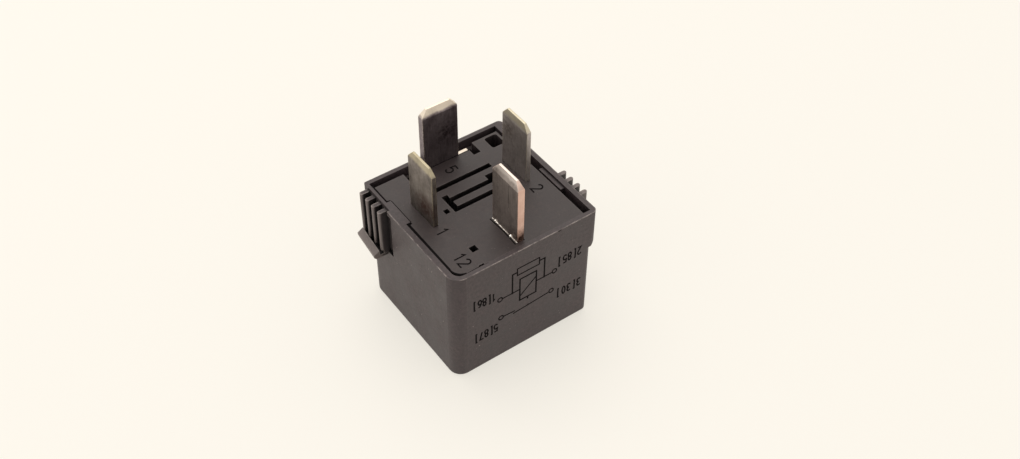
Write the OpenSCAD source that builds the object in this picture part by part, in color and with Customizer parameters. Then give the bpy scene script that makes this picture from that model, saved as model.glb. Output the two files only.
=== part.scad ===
// Four-pin automotive plug-in relay, standing on the closed end of its cover.
// The four blades point up. The coil and the contacts are built inside the cover.
// Millimetres. Z is up, the marked side faces -Y, z = 0 is the closed end.

/* [Cover] */
// Width of the cover across X, without its side bands
cover_w = 25.2; // [24:0.1:32]
// How much further the left face stands from the middle of the blades than the right face
left_extra = 0.4; // [0:0.1:1]
// Room between terminal 3 and the front wall of the cover, for the rivet heads
front_room = 0.8; // [0.75:0.05:1.2]
// Room between terminal 5 and the back wall of the cover
back_room = 0.05; // [0.05:0.05:0.3]
// Height of the cover from its closed end to its rim
cover_h = 21.9; // [20:0.1:30]
// Thickness of the side walls
wall = 0.75; // [0.6:0.05:1.0]
// Thickness of the closed end
floor_t = 1.0; // [0.8:0.1:1.6]
// Thickness of the left wall
left_wall = 0.95; // [0.9:0.05:1.2]
// Radius of the two upright corners at the left
corner_r = 2.1; // [1.0:0.1:2.5]
// Radius of the two upright corners at the right, and of the corners of the rim
rim_r = 0.8; // [0.6:0.1:1.2]
// Radius round the edge of the closed end
edge_r = 0.4; // [0.3:0.1:0.5]
// Size of the posts in the inner corners that carry the base
post_size = 1.6; // [1.2:0.1:2]

/* [Side bands and bracket rails] */
// How far the band stands out from the right wall
band_t = 0.85; // [0.6:0.05:1.2]
// How far the band stands out from the back wall
back_band_t = 1.0; // [0.8:0.05:1.2]
// Wall thickness of the cover inside the right band
band_wall = 0.9; // [0.8:0.05:1.3]
// Height of the band below the rim
band_h = 5.9; // [5:0.1:8]
// Height of the sloped underside of the band
band_slope = 1.4; // [0.8:0.1:2]
// Depth of the recess in the left wall that the ribs stand in
rib_recess = 0.45; // [0.3:0.05:0.5]
// Radius of the hollow at the front end of that recess
recess_r = 1.2; // [0.8:0.1:1.5]
// Thickness of each upright bracket rib
rib_t = 0.7; // [0.5:0.05:1]
// How far the ribs stand out from the wall or band behind them
rib_out = 1.6; // [1:0.05:1.8]
// Distance from rib to rib on the left side
rib_pitch_left = 1.7; // [1.4:0.05:1.9]
// Distance from rib to rib on the right side
rib_pitch_right = 1.72; // [1.4:0.05:2]
// Number of ribs on each side
rib_count = 4; // [3:1:4]
// Distance from the back of the cover to the first left rib
rib_left_y = 1.4; // [1.2:0.1:2.4]
// Distance from the front of the cover to the first right rib
rib_right_y = 4.8; // [4:0.1:7]
// Distance of the rib tops below the rim
rib_drop = 0.45; // [0.3:0.05:1]
// Height of the catch channel under the ribs, measured from the closed end to its lip
catch_z = 13.5; // [10:0.1:14]
// How far the front end of the catch lip stands out past the ribs
catch_out = 1.4; // [1:0.1:1.6]
// How much nearer to the ribs the back end of the catch lip stands
catch_taper = 0.55; // [0.2:0.05:0.8]
// Thickness of the catch lip
lip_t = 1.0; // [0.7:0.05:1.2]
// Depth of the channel behind the catch lip
channel_depth = 0.8; // [0.5:0.1:1]
// Thickness of the catch floor
catch_t = 0.6; // [0.5:0.1:1]

/* [Base plate] */
// Thickness of the base plate
base_t = 3.1; // [2.6:0.1:3.6]
// Depth of the base below the rim
rim_step = 0.1; // [0.1:0.1:0.8]
// Gap between the base and the back wall, and round the boss of the left wall
base_gap = 0.1; // [0.05:0.05:0.2]
// Gap along the left edge of the base
left_gap = 0.2; // [0.1:0.05:0.3]
// Gap along the front edge of the base
front_gap = 0.03; // [0.02:0.01:0.1]
// How far the right edge of the base stands back from the wall
right_gap = 0.5; // [0.3:0.05:0.6]
// How far the boss of the left wall stands in
boss_t = 0.75; // [0.4:0.05:0.8]
// Front end of that boss, behind the middle of the cover
boss_front = 1.4; // [1:0.1:2]
// Length of that boss
boss_l = 5.55; // [4:0.05:6]
// Radius of the front left corner of the base
base_corner_r = 1.9; // [1:0.1:2]
// How far the upper part of the base is set back from the rear wall
back_step = 1.0; // [0.6:0.1:1.2]
// Depth of that set back
back_step_h = 1.6; // [1:0.1:1.8]
// Width of the long ventilation slots
slot_w = 0.9; // [0.6:0.1:1]
// Half length of the rear slot
slot_half = 5.9; // [4:0.1:6.5]
// Width of the tongue between the two front slots
tongue_w = 1.25; // [0.8:0.05:1.5]
// Side of the vent hole near the back corner
vent_size = 2.3; // [1.5:0.1:2.4]
// How much longer the vent hole is across the depth
vent_extra = 0.3; // [0:0.1:0.4]
// Side of the two small square holes
pip_size = 1.1; // [0.8:0.1:1.4]

/* [Terminals] */
// Width of every blade
blade_w = 6.3; // [4.8:0.1:6.3]
// Thickness of the two coil blades
coil_blade_t = 0.8; // [0.6:0.1:1]
// Thickness of the two load blades
load_blade_t = 1.2; // [0.8:0.1:1.3]
// Height of the two coil blades above the base
coil_blade_h = 11.0; // [9:0.1:12]
// Height of the two load blades above the base
load_blade_h = 11.5; // [9:0.1:12]
// Height of the bevel at each blade tip
tip_bevel = 1.4; // [0.8:0.1:2]
// Thickness left at each blade tip
tip_t = 0.4; // [0.3:0.05:0.6]
// Chamfer on the corners of each blade tip
tip_chamfer = 1.0; // [0.6:0.1:1.5]
// Centre distance between the two coil blades
coil_blade_span = 16.9; // [16.5:0.1:17.4]
// Distance of the coil blades behind the middle of the cover
coil_blade_y = 1.7; // [1.2:0.1:2]
// Distance of blade 5 behind the coil blades
load5_offset = 8.6; // [8.3:0.1:8.8]
// Distance of blade 3 in front of the coil blades
load3_offset = 9.7; // [9.3:0.1:9.8]
// Clearance round each metal piece in its base slot
slot_clear = 0.05; // [0.02:0.01:0.1]

/* [Magnet] */
// Thickness of the yoke steel
yoke_t = 1.6; // [1.2:0.1:1.8]
// Width of the yoke
yoke_w = 12.0; // [10:0.1:13]
// Radius of the coil core
core_r = 2.7; // [2.2:0.1:2.8]
// Radius of the riveted neck of the core
neck_r = 2.0; // [1.5:0.1:2]
// Radius of the pole shoe
pole_r = 3.9; // [3.3:0.1:4.2]
// Thickness of the pole shoe
pole_t = 1.0; // [0.8:0.1:1.4]
// Distance of the coil axis in front of the middle of the cover
coil_y = 0.6; // [0.4:0.1:0.9]
// Side of the square bobbin flanges
flange_size = 13.2; // [12.6:0.1:13.4]
// Thickness of the bobbin flanges
flange_t = 0.9; // [0.7:0.1:1.2]
// Thickness of the bobbin tube
tube_t = 0.75; // [0.5:0.05:0.9]
// Outer radius of the copper winding
winding_r = 6.1; // [5:0.1:6.2]
// Running clearance between the core and the bobbin
core_clear = 0.05; // [0.03:0.01:0.1]

/* [Armature and contacts] */
// Thickness of the armature
armature_t = 1.4; // [1:0.1:1.6]
// Width of the armature
armature_w = 11.0; // [9:0.1:12]
// Angle that the armature stands open
open_angle = 4.2; // [3:0.1:4.4]
// Thickness of the contact spring
spring_t = 0.3; // [0.2:0.05:0.35]
// Width of the contact spring at the hinge
spring_w = 8.4; // [6:0.1:9]
// Radius of both contact buttons
contact_r = 1.5; // [1.2:0.1:1.8]
// Height of the moving contact button
moving_contact_h = 1.0; // [0.7:0.1:1.2]
// Height of the fixed contact button
fixed_contact_h = 0.8; // [0.5:0.1:1]
// Radius of the contact shanks
shank_r = 0.7; // [0.5:0.05:0.8]
// Height of the riveted tails of both contacts
tail_h = 0.3; // [0.2:0.05:0.4]
// Distance of the contacts in front of blade 5
contact_offset = 1.8; // [1.7:0.1:2]
// Thickness of the rest stop strip
stop_t = 0.8; // [0.6:0.1:1]
// Height of the rest stop above the closed end
stop_lift = 0.5; // [0.3:0.1:0.8]
// Air left between the closed contacts, and between the stop and the spring
touch_gap = 0.04; // [0.02:0.01:0.06]

/* [Rivets, resistor and leads] */
// Radius of the rivet shanks
rivet_r = 0.7; // [0.5:0.05:0.8]
// Radius of the rivet heads
rivet_head_r = 1.2; // [1:0.05:1.3]
// Height of the rivet heads
rivet_head_h = 0.4; // [0.25:0.05:0.4]
// Distance between the two rivets of each pair
rivet_span = 3.6; // [3:0.1:4]
// Radius of the resistor body
resistor_r = 1.1; // [0.8:0.05:1.2]
// Length of the resistor body
resistor_l = 6.3; // [5:0.1:7]
// Radius of the resistor leads
resistor_lead_r = 0.3; // [0.2:0.05:0.35]
// Radius of the coil wire ends
coil_lead_r = 0.2; // [0.1:0.05:0.25]

/* [View] */
// Piece to draw

/* [Hidden] */
$fn = 64;
eps = 0.01;
left_w = (cover_w + left_extra) / 2;
right_w = (cover_w - left_extra) / 2;
load5_y = coil_blade_y + load5_offset;
load3_y = coil_blade_y - load3_offset;
load3_front = load3_y - blade_w / 2;
half_d = front_room + wall - load3_front;
back_w = load5_y + load_blade_t / 2 + back_room + wall;
back_d = back_w + back_band_t;
room_left = left_w - left_wall;
room_right = right_w - wall;
room_y = half_d - wall;
room_back = back_w - wall;
room_rim = back_d - wall;
room_r = corner_r - wall > 0.3 ? corner_r - wall : 0.3;
// base plate levels and outline
base_top = cover_h - rim_step;
base_z = base_top - base_t;
base_left = room_left - left_gap;
base_right = room_right - right_gap;
base_front = room_y - front_gap;
base_back = room_rim - base_gap;
top_back = base_back - back_step;
// terminals
coil_blade_x = coil_blade_span / 2;
coil_blade_top = base_top + coil_blade_h;
load_blade_top = base_top + load_blade_h;
shoulder_h = 1.2;
shoulder_z = base_z + shoulder_h;
shoulder_out = 0.75;
tail_w = 2.8;
tail_z = base_z - 4.2;
lead_z = base_z - yoke_t - flange_t - 0.7;
// yoke and hinge
foot_back = load3_front + load_blade_t;
leg_front = foot_back + spring_t;
leg_back = leg_front + yoke_t;
yoke_back = 4.0;
hinge_y = leg_front;
contact_y = load5_y - contact_offset;
arm_len = contact_y - hinge_y;
arm_gap = 0.05;
stop_z = floor_t + stop_lift;
stop_top = stop_z + stop_t;
open_drop = arm_len * sin(open_angle);
pole_z = stop_top + touch_gap + open_drop + tail_h + spring_t + armature_t + arm_gap;
armature_top = pole_z - arm_gap;
armature_z = armature_top - armature_t;
spring_z = armature_z - spring_t;
contact_top = armature_z + moving_contact_h;
fixed_z = contact_top + touch_gap;
foot_z = fixed_z + fixed_contact_h;
// bobbin and winding
axis_y = -coil_y;
bobbin_z = pole_z + pole_t;
yoke_under = base_z - yoke_t;
bobbin_top = yoke_under;
tube_r = core_r + core_clear + tube_t;
winding_z = bobbin_z + flange_t + 0.05;
winding_top = bobbin_top - flange_t - 0.05;
// resistor
resistor_y = axis_y + flange_size / 2 + resistor_r + 0.5;
resistor_z = base_z - resistor_r - 1.0;
// ribs, band and shelf
band_z = cover_h - band_h;
band_low = band_z - band_slope;
left_root = left_w - rib_recess;
right_root = right_w + band_t;
rib_top = cover_h - rib_drop;
// Place of a rib across the depth, counted from the back on the left, from the front on the right
function rib_y(side, i) = side > 0
    ? -half_d + rib_right_y + i * rib_pitch_right
    : back_d - rib_left_y - i * rib_pitch_left;
// bend of the contact spring under the hinge
bend_r = 0.55;
hinge_spring_z = pole_z + 0.15;

// ---------- shared shapes ----------

// Upright block from corner a to corner b
module block(a, b) {
    translate(a)
        cube([b[0] - a[0], b[1] - a[1], b[2] - a[2]]);
}

// Block with four round upright edges
module round_block(a, b, r) {
    block([a[0] + r, a[1], a[2]], [b[0] - r, b[1], b[2]]);
    block([a[0], a[1] + r, a[2]], [b[0], b[1] - r, b[2]]);
    for (x = [a[0] + r, b[0] - r])
        for (y = [a[1] + r, b[1] - r])
            translate([x, y, a[2]])
                cylinder(h = b[2] - a[2], r = r);
}

// Corner of the cover: an upright round edge that rolls into the closed end
module rolled_corner(r, f, h) {
    rotate_extrude()
        union() {
            square([r - f, h]);
            translate([0, f])
                square([r, h - f]);
            intersection() {
                translate([r - f, f])
                    circle(f);
                square([r, h]);
            }
        }
}

// Blade outline seen on its flat side, standing on the line z = z0
module blade_outline(w, z0, z1) {
    polygon([[-w / 2, z0], [w / 2, z0], [w / 2, z1 - tip_chamfer * 1.2],
             [w / 2 - tip_chamfer, z1], [-w / 2 + tip_chamfer, z1],
             [-w / 2, z1 - tip_chamfer * 1.2]]);
}

// Blade outline seen on its thin edge, with the bevelled tip
module blade_edge(t, z0, z1) {
    polygon([[-t / 2, z0], [t / 2, z0], [t / 2, z1 - tip_bevel],
             [tip_t / 2, z1], [-tip_t / 2, z1], [-t / 2, z1 - tip_bevel]]);
}

// Blade with its flat side towards Y
module blade(w, t, z0, z1) {
    intersection() {
        translate([0, t, 0])
            rotate([90, 0, 0])
                linear_extrude(2 * t)
                    blade_outline(w, z0, z1);
        translate([-w, 0, 0])
            rotate([90, 0, 90])
                linear_extrude(2 * w)
                    blade_edge(t, z0, z1);
    }
}

// Turns its children with the armature, from the closed place to the open one
module opened() {
    translate([0, hinge_y, pole_z])
        rotate([-open_angle, 0, 0])
            translate([0, -hinge_y, -pole_z])
                children();
}

// ---------- cover ----------

module cover_body() {
    f = edge_r;
    x0 = -left_w + corner_r;
    x1 = right_w - rim_r;
    block([x0, -half_d + f, 0], [x1, back_w - f, cover_h]);
    block([x0, -half_d, f], [x1, back_w, cover_h]);
    block([-left_w + f, -half_d + corner_r, 0], [x0, back_w - corner_r, cover_h]);
    block([-left_w, -half_d + corner_r, f], [x0, back_w - corner_r, cover_h]);
    block([x1, -half_d + rim_r, 0], [right_w - f, back_w - rim_r, cover_h]);
    block([x1, -half_d + rim_r, f], [right_w, back_w - rim_r, cover_h]);
    for (r = [corner_r, rim_r])
        for (y = [-half_d + r, back_w - r])
            translate([r == corner_r ? x0 : x1, y, 0])
                rolled_corner(r, f, cover_h);
    for (y = [-half_d + f, back_w - f])
        translate([x0, y, f])
            rotate([0, 90, 0])
                cylinder(h = x1 - x0, r = f);
    translate([-left_w + f, back_w - corner_r, f])
        rotate([90, 0, 0])
            cylinder(h = half_d + back_w - 2 * corner_r, r = f);
    translate([right_w - f, back_w - rim_r, f])
        rotate([90, 0, 0])
            cylinder(h = half_d + back_w - 2 * rim_r, r = f);
}

// What a round upright corner leaves off a block; the corner is at x, y and points to sx, sy
module corner_cut(x, y, sx, sy, r, z0, z1) {
    difference() {
        translate([x - sx * r + (sx > 0 ? 0 : -r - 1), y - sy * r + (sy > 0 ? 0 : -r - 1), z0])
            cube([r + 1, r + 1, z1 - z0]);
        translate([x - sx * r, y - sy * r, z0 - 1])
            cylinder(h = z1 - z0 + 2, r = r);
    }
}

// Upper part of the cover: a band that stands out at the right and at the back, sloped below
module rim_band() {
    difference() {
        intersection() {
            translate([0, back_d, 0])
                rotate([90, 0, 0])
                    linear_extrude(half_d + back_d)
                        polygon([[-left_w, band_low], [right_w, band_low], [right_root, band_z],
                                 [right_root, cover_h], [-left_w, cover_h]]);
            translate([-left_w, 0, 0])
                rotate([90, 0, 90])
                    linear_extrude(left_w + right_root)
                        polygon([[-half_d, band_low], [back_w, band_low], [back_d, band_z],
                                 [back_d, cover_h], [-half_d, cover_h]]);
        }
        corner_cut(-left_w, -half_d, -1, -1, corner_r, band_low - 1, cover_h + 1);
        corner_cut(right_root, -half_d, 1, -1, rim_r, band_low - 1, cover_h + 1);
        corner_cut(right_root, back_d, 1, 1, rim_r, band_low - 1, cover_h + 1);
        corner_cut(-left_w, back_d, -1, 1, rim_r, band_low - 1, cover_h + 1);
    }
}

// Recess that the left ribs stand in, with a hollow at its front end
module rib_bay() {
    y0 = rib_y(-1, rib_count - 1) - rib_t * 1.3;
    z0 = catch_z - channel_depth;
    block([-left_w - 1, y0, z0], [-left_root, back_d + 1, cover_h + 1]);
    translate([-left_root - recess_r, y0, z0])
        cylinder(h = rib_top - 0.3 - z0, r = recess_r);
}

// One upright rib with a round edge, from the wall out to its tip
module rib(side, y) {
    root = side > 0 ? right_root : left_root;
    low_root = side > 0 ? right_w : left_root;
    tip = root + rib_out;
    mirror([side > 0 ? 0 : 1, 0, 0])
        translate([0, y, 0]) {
            block([root - wall / 4, -rib_t / 2, catch_z], [tip - rib_t / 2, rib_t / 2, rib_top]);
            block([low_root - wall / 4, -rib_t / 2, catch_z - channel_depth - eps],
                  [tip - rib_t / 2, rib_t / 2, side > 0 ? band_z : catch_z + eps]);
            translate([tip - rib_t / 2, 0, catch_z])
                cylinder(h = rib_top - catch_z, r = rib_t / 2);
        }
}

// Catch under a row of ribs: a floor and a lip that stands away from the rib tips
module catch_channel(side, y0, y1) {
    wall_x = side > 0 ? right_w : left_root;
    front = (side > 0 ? right_root : left_root) + rib_out + catch_out;
    back = front - catch_taper;
    floor_z = catch_z - channel_depth;
    slant = atan(catch_taper / (y1 - y0));
    mirror([side > 0 ? 0 : 1, 0, 0]) {
        // floor of the channel
        translate([0, 0, floor_z - catch_t])
            linear_extrude(catch_t)
                polygon([[wall_x - wall / 4, y0], [front - 0.45, y0], [back - 0.45, y1],
                         [wall_x - wall / 4, y1]]);
        // lip with a wide sloped top
        intersection() {
            translate([front, y0, catch_z])
                rotate([0, 0, slant])
                    translate([0, y1 - y0 + 1, 0])
                        rotate([90, 0, 0])
                            linear_extrude(y1 - y0 + 2)
                                polygon([[-lip_t - 0.2, -channel_depth - catch_t],
                                         [-0.45, -channel_depth - catch_t], [-0.05, -0.95],
                                         [0, -0.45], [-lip_t, 0.15]]);
            block([wall_x, y0, 0], [front + 1, y1, cover_h]);
        }
    }
}

// Room for the base and the works; the front left corner is round
module cover_room() {
    // lower room
    difference() {
        block([-room_left, -room_y, floor_t], [room_right, room_back, cover_h + 1]);
        corner_cut(-room_left, -room_y, -1, -1, room_r, floor_t - 1, cover_h + 2);
        corner_cut(-room_left, room_back, -1, 1, room_r, floor_t - 1, base_z);
    }
    // wider room for the base, inside the band
    block([-room_left + room_r, 0, base_z], [room_right, room_rim, cover_h + 1]);
    block([-room_left, 0, base_z], [0, room_rim, cover_h + 1]);
    // groove behind the right band, on both sides of its ledge
    groove_x = right_root - band_wall;
    block([0, -room_y, band_z + 1], [groove_x, -5.6, cover_h + 1]);
    block([0, -5.6 - eps, base_top - 0.3], [groove_x, eps, cover_h + 1]);
    block([0, 0, band_z + 1], [groove_x, 5.4, cover_h + 1]);
    // snap pockets in the front and back walls
    for (x = [-1, 1]) {
        block([x * 7.5 - 1.1, -room_y - 0.4, base_z + 0.7], [x * 7.5 + 1.1, 0, base_z + 1.8]);
        block([x * 8.6 - 1.1, 0, base_z + 0.7], [x * 8.6 + 1.1, room_rim + 0.4, base_z + 1.6]);
    }
}

module cover() {
    color("#3a3838")
        union() {
            difference() {
                union() {
                    cover_body();
                    rim_band();
                }
                cover_room();
                rib_bay();
            }
            // boss of the left wall, beside the base
            block([-room_left - eps, boss_front, floor_t - eps],
                  [-room_left + boss_t, boss_front + boss_l, cover_h]);
            // posts that carry the base
            for (sx = [-1, 1])
                for (sy = [-1, 1])
                    block([sx > 0 ? room_right - post_size : -room_left - eps,
                           sy > 0 ? room_back - post_size : -room_y - eps, floor_t - eps],
                          [sx > 0 ? room_right + eps : -room_left + post_size,
                           sy > 0 ? room_back + eps : -room_y + post_size, base_z]);
            for (i = [0 : rib_count - 1]) {
                rib(-1, rib_y(-1, i));
                rib(1, rib_y(1, i));
            }
            catch_channel(-1, rib_y(-1, rib_count - 1) - rib_t * 0.3, rib_y(-1, 0) + rib_t * 0.8);
            catch_channel(1, rib_y(1, 0) - rib_t, rib_y(1, rib_count - 1) + rib_t * 0.8);
        }
}

// ---------- base plate ----------

module base_plate() {
    side_y = 8.3;
    notch_in = load5_y - load_blade_t / 2 - slot_clear;
    c = slot_clear;
    color("#444141")
        difference() {
            union() {
                block([-base_left, -base_front, base_z],
                      [base_right, base_back, base_top - back_step_h]);
                block([-base_left, -base_front, base_z], [base_right, top_back, base_top]);
                // snap noses at the front and back
                for (x = [-1, 1]) {
                    block([x * 7.5 - 0.9, -room_y - 0.25, base_z + 0.9],
                          [x * 7.5 + 0.9, 0, base_z + 1.6]);
                    block([x * 8.6 - 0.9, 0, base_z + 0.9],
                          [x * 8.6 + 0.9, room_rim + 0.25, base_z + 1.4]);
                }
            }
            corner_cut(-base_left, -base_front, -1, -1, base_corner_r, base_z - 1, base_top + 1);
            // seat of the boss of the left wall
            block([-base_left - 1, boss_front - base_gap, base_z - 1],
                  [-room_left + boss_t + base_gap, boss_front + boss_l + base_gap, base_top + 1]);
            // wider gap at the left part of the front edge
            block([-base_left - 1, -base_front - 1, base_top - 0.5],
                  [-6.2, -base_front + 0.1, base_top + 1]);
            // blade slots of the coil terminals, with room for their shoulders below
            for (x = [-coil_blade_x, coil_blade_x]) {
                block([x - coil_blade_t / 2 - c, coil_blade_y - blade_w / 2 - c, base_z - 1],
                      [x + coil_blade_t / 2 + c, coil_blade_y + blade_w / 2 + c, base_top + 1]);
                block([x - coil_blade_t / 2 - c, coil_blade_y - blade_w / 2 - shoulder_out - c,
                       base_z - 1],
                      [x + coil_blade_t / 2 + c, coil_blade_y + blade_w / 2 + shoulder_out + c,
                       shoulder_z + c]);
            }
            // blade slot of terminal 3 and room for its shoulder and foot
            block([-load_blade_t / 2 - c, load3_front - c, base_z - 1],
                  [load_blade_t / 2 + c, load3_y + blade_w / 2 + c, base_top + 1]);
            block([-load_blade_t / 2 - c, load3_front - c, base_z - 1],
                  [load_blade_t / 2 + c, load3_y + blade_w / 2 + shoulder_out + c, shoulder_z + c]);
            // seat of terminal 5 at the back edge, open above its shoulders
            block([-blade_w / 2 - 2.2 - c, notch_in, base_z - 1],
                  [blade_w / 2 + 2.2 + c, load5_y + load_blade_t / 2 + c, base_top + 1]);
            block([-blade_w / 2 - 2.2 - c, notch_in, base_top - 1.1],
                  [blade_w / 2 + 2.2 + c, base_back + 1, base_top + 1]);
            // deep notches beside terminal 5
            for (s = [-1, 1])
                block([s * 5.75 - 0.65, side_y, base_z - 1], [s * 5.75 + 0.65, base_back - 0.6, base_top + 1]);
            // tabs of the yoke and of the rest stop
            for (s = [-1, 1])
                block([s * 4.5 - 0.8 - c, leg_front - c, base_z - 1],
                      [s * 4.5 + 0.8 + c, leg_back + c, base_z + 1.6 + c]);
            block([-9.6 - c, contact_y - 0.3 - c, base_z - 1],
                  [-8.2 + c, contact_y + 0.9 + c, base_z + 1.8 + c]);
            // rear slot
            block([-slot_half, 4.5, base_z - 1], [slot_half, 4.5 + slot_w, base_top + 1]);
            // slot that bends round the tongue
            block([-4.4, 1.5, base_z - 1], [5.2, 1.5 + slot_w, base_top + 1]);
            block([-4.4, 1.5 - tongue_w - slot_w, base_z - 1], [5.2, 1.5 - tongue_w, base_top + 1]);
            block([-4.4, 1.5 - tongue_w - slot_w, base_z - 1], [-3.4, 3.2, base_top + 1]);
            block([3.7, 1.5, base_z - 1], [5.2, 3.4, base_top + 1]);
            // small holes
            block([-5.8, -0.2, base_top - 1.5], [-5.0, 0.7, base_top + 1]);
            block([-6.45 - pip_size / 2, -8.4 - pip_size / 2, base_top - 1.5],
                  [-6.45 + pip_size / 2, -8.4 + pip_size / 2, base_top + 1]);
            // vent hole near the back corner
            round_block([9.6 - vent_size / 2, 9.15 - (vent_size + vent_extra) / 2, base_z - 1],
                        [9.6 + vent_size / 2, 9.15 + (vent_size + vent_extra) / 2, base_top + 1], 0.4);
            // moulding notch in the front edge
            block([-7.8, -base_front - 1, base_top - 0.6], [-6.9, -base_front + 0.35, base_top + 1]);
        }
}

// ---------- terminals ----------

// Coil terminal: blade, shoulders held in the base, narrow tail beside the coil
module coil_terminal(x) {
    t = coil_blade_t / 2;
    color("#b9b2a2")
        translate([x, coil_blade_y, 0]) {
            rotate([0, 0, 90])
                blade(blade_w, coil_blade_t, shoulder_z, coil_blade_top);
            block([-t, -blade_w / 2 - shoulder_out, base_z], [t, blade_w / 2 + shoulder_out, shoulder_z]);
            difference() {
                block([-t, -tail_w / 2, tail_z], [t, tail_w / 2, base_z]);
                // fork that takes the end of the coil wire
                block([-1, -0.35, tail_z - 1], [1, 0.35, tail_z + 1.2]);
                translate([-1, 0, tail_z + 1.2])
                    rotate([0, 90, 0])
                        cylinder(h = 2, r = 0.35);
            }
        }
}

module terminal_1() {
    coil_terminal(-coil_blade_x);
}

module terminal_2() {
    coil_terminal(coil_blade_x);
}

// Load terminal at the front: its foot is folded flat against the yoke
module terminal_3() {
    t = load_blade_t / 2;
    color("#b9b2a2")
        difference() {
            union() {
                translate([0, load3_y, 0])
                    rotate([0, 0, 90])
                        blade(blade_w, load_blade_t, shoulder_z, load_blade_top);
                block([-t, load3_front, base_z + 0.3],
                      [t, load3_y + blade_w / 2 + shoulder_out, shoulder_z]);
                block([-t, load3_front, base_z - 2.0], [t, foot_back, base_z + 0.3]);
                block([-3.2, load3_front, base_z - 8.4], [3.2, foot_back, base_z - 1.6]);
            }
            yoke_rivet_holes(load3_front - 1, foot_back + 1);
        }
}

// Load terminal at the back: its foot carries the fixed contact
module terminal_5() {
    t = load_blade_t / 2;
    color("#b9b2a2")
        difference() {
            union() {
                translate([0, load5_y, 0])
                    blade(blade_w, load_blade_t, base_top - 0.7, load_blade_top);
                block([-blade_w / 2 - 2.2, load5_y - t, base_z],
                      [blade_w / 2 + 2.2, load5_y + t, base_top - 0.6]);
                block([-2.5, load5_y - t, foot_z], [2.5, load5_y + t, base_z + 0.1]);
                block([-2.5, contact_y - contact_r - 0.4, foot_z], [2.5, load5_y + t, foot_z + load_blade_t]);
            }
            translate([0, contact_y, foot_z - 1])
                cylinder(h = load_blade_t + 2, r = shank_r + 0.02);
        }
}

module fixed_contact() {
    color("#d9d6cc")
        translate([0, contact_y, 0]) {
            translate([0, 0, fixed_z])
                cylinder(h = fixed_contact_h, r = contact_r);
            translate([0, 0, foot_z - eps])
                cylinder(h = load_blade_t + 2 * eps, r = shank_r);
            translate([0, 0, foot_z + load_blade_t])
                cylinder(h = tail_h, r = shank_r + 0.35);
        }
}

// Strip that the open contact spring rests on
module rest_stop() {
    color("#a9a79f")
        union() {
            block([-9.6, contact_y - 0.3, stop_z], [-8.2, contact_y + 0.9, base_z + 1.8]);
            block([-9.6, contact_y - 1.2, stop_z], [1.6, contact_y + 0.9, stop_top]);
        }
}

// ---------- magnet ----------

// Cross holes through the yoke, the hinge spring and the foot of terminal 3
module yoke_rivet_holes(y0, y1) {
    for (x = [-rivet_span / 2, rivet_span / 2])
        translate([x, y1, base_z - 5.2])
            rotate([90, 0, 0])
                cylinder(h = y1 - y0, r = rivet_r + 0.02);
}

module yoke() {
    color("#9c9a94")
        difference() {
            union() {
                block([-yoke_w / 2, leg_front, pole_z], [yoke_w / 2, leg_back, base_z]);
                block([-yoke_w / 2, leg_front, yoke_under], [yoke_w / 2, yoke_back, base_z]);
                for (s = [-1, 1])
                    block([s * 4.5 - 0.8, leg_front, base_z - eps], [s * 4.5 + 0.8, leg_back, base_z + 1.6]);
            }
            translate([0, axis_y, yoke_under - 1])
                cylinder(h = yoke_t + 2, r = neck_r + 0.02);
            yoke_rivet_holes(leg_front - 1, leg_back + 1);
        }
}

module core() {
    color("#9c9a94")
        translate([0, axis_y, 0]) {
            translate([0, 0, pole_z])
                cylinder(h = pole_t, r = pole_r);
            translate([0, 0, pole_z])
                cylinder(h = yoke_under - pole_z, r = core_r);
            translate([0, 0, yoke_under - eps])
                cylinder(h = yoke_t - 0.1 + eps, r = neck_r);
        }
}

module bobbin() {
    f = flange_size / 2;
    color("#e6dfcf")
        translate([0, axis_y, 0])
            difference() {
                union() {
                    round_block([-f, -f, bobbin_z], [f, f, bobbin_z + flange_t], 1.2);
                    round_block([-f, -f, bobbin_top - flange_t], [f, f, bobbin_top], 1.2);
                    translate([0, 0, bobbin_z])
                        cylinder(h = bobbin_top - bobbin_z, r = tube_r);
                    // ears that guide the coil wire to the terminals
                    for (s = [-1, 1])
                        block([s > 0 ? f - eps : -coil_blade_x + coil_blade_t / 2 + 0.1,
                               coil_blade_y - axis_y - 1.2, bobbin_top - flange_t],
                              [s > 0 ? coil_blade_x - coil_blade_t / 2 - 0.1 : -f + eps,
                               coil_blade_y - axis_y + 1.2, bobbin_top]);
                }
                translate([0, 0, bobbin_z - 1])
                    cylinder(h = bobbin_top - bobbin_z + 2, r = core_r + core_clear);
            }
}

module coil_winding() {
    color("#b4622f")
        translate([0, axis_y, winding_z])
            difference() {
                cylinder(h = winding_top - winding_z, r = winding_r);
                translate([0, 0, -1])
                    cylinder(h = winding_top - winding_z + 2, r = tube_r + 0.05);
            }
}

// End of the coil wire, from the winding to the fork of a coil terminal
module coil_lead(side) {
    x0 = sqrt(winding_r * winding_r - (coil_blade_y - axis_y) * (coil_blade_y - axis_y)) + 0.1;
    x1 = coil_blade_x + coil_blade_t / 2;
    color("#c87137")
        translate([side > 0 ? x0 : -x1, coil_blade_y, tail_z + 1.2])
            rotate([0, 90, 0])
                cylinder(h = x1 - x0, r = coil_lead_r);
}

module coil_lead_1() {
    coil_lead(-1);
}

module coil_lead_2() {
    coil_lead(1);
}

// ---------- resistor across the coil ----------

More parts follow.
